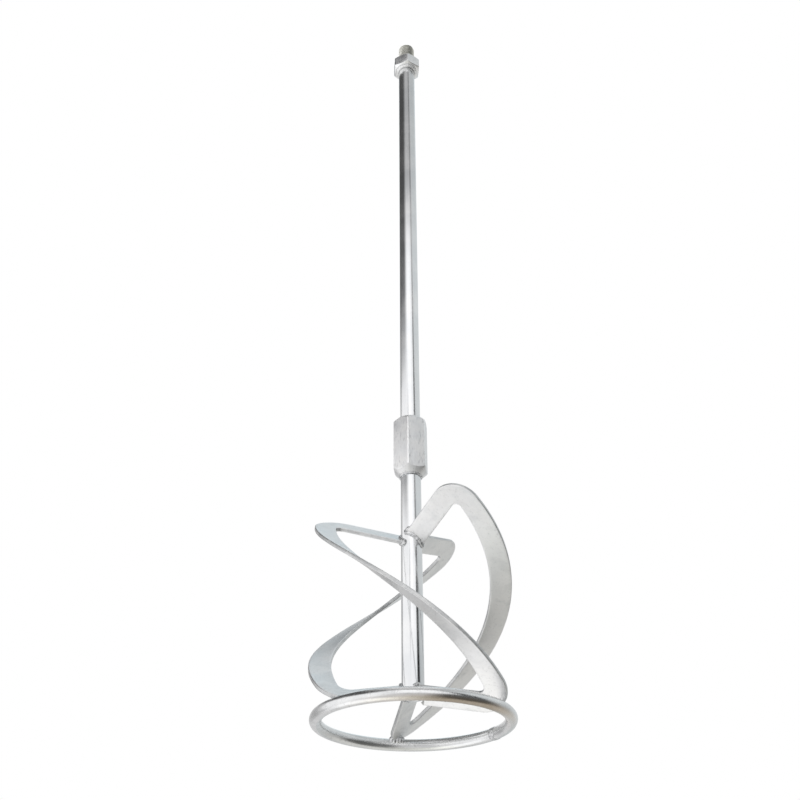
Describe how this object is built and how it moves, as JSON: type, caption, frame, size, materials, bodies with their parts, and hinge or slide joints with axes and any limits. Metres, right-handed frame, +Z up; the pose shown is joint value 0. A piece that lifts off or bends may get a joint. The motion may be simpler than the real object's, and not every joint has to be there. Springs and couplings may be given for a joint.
{
  "type": "mortar mixing paddle",
  "caption": "Zinc-plated mixing paddle: a two-part tube shaft joined by a hex sleeve, helical flat-bar blades welded to the shaft and a wire base ring, and a threaded drive end.",
  "frame": {"origin": "centre of the base ring, on the plane that the ring stands on", "axes": "+Z up the shaft to the drive thread; the first blade's flight starts 51 degrees clockwise of +X, seen from above"},
  "size_m": [0.128, 0.128, 0.621],
  "materials": {
    "bright_zinc": "bright zinc plating on smooth drawn tube and round wire, near mirror",
    "satin_zinc": "satin zinc plating on machined hexagons",
    "dull_zinc": "cloudy zinc plating on flat bar, mottled",
    "thread_steel": "darker zinc plating on machined threads",
    "weld_bead": "zinc plating over rough weld beads"
  },
  "bodies": {
    "lower_paddle": {"base_ring": "bright_zinc", "ring_butt_weld": "weld_bead", "lower_tube": "bright_zinc", "end_plug": "dull_zinc", "hex_coupling": "satin_zinc", "coupling_weld": "weld_bead", "blade_1": "dull_zinc", "blade_1_top_weld": "weld_bead", "blade_1_bottom_weld": "weld_bead", "blade_1_ring_weld": "weld_bead", "blade_2": "dull_zinc", "blade_2_top_weld": "weld_bead", "blade_2_bottom_weld": "weld_bead", "blade_2_ring_weld": "weld_bead", "blade_3": "dull_zinc", "blade_3_top_weld": "weld_bead", "blade_3_bottom_weld": "weld_bead", "blade_3_ring_weld": "weld_bead"},
    "joint_stud": {"joint_stud": "thread_steel"},
    "upper_shaft": {"upper_tube": "bright_zinc", "drive_stud": "thread_steel", "top_hex_collar": "satin_zinc", "collar_weld": "weld_bead"}
  },
  "joints": [
    {"name": "shaft_rise", "type": "slide", "parent": "lower_paddle", "child": "joint_stud", "axis": [0, 0, 1], "range_m": [0, 0.02]},
    {"name": "shaft_unscrew", "type": "hinge", "parent": "joint_stud", "child": "upper_shaft", "pos_m": [0, 0, 0.2128], "axis": [0, 0, 1], "range_deg": [0, 3601]}
  ],
  "couplings": [
    {"joint": "shaft_unscrew", "follows": "shaft_rise", "rad_per_m": 3141.6}
  ]
}
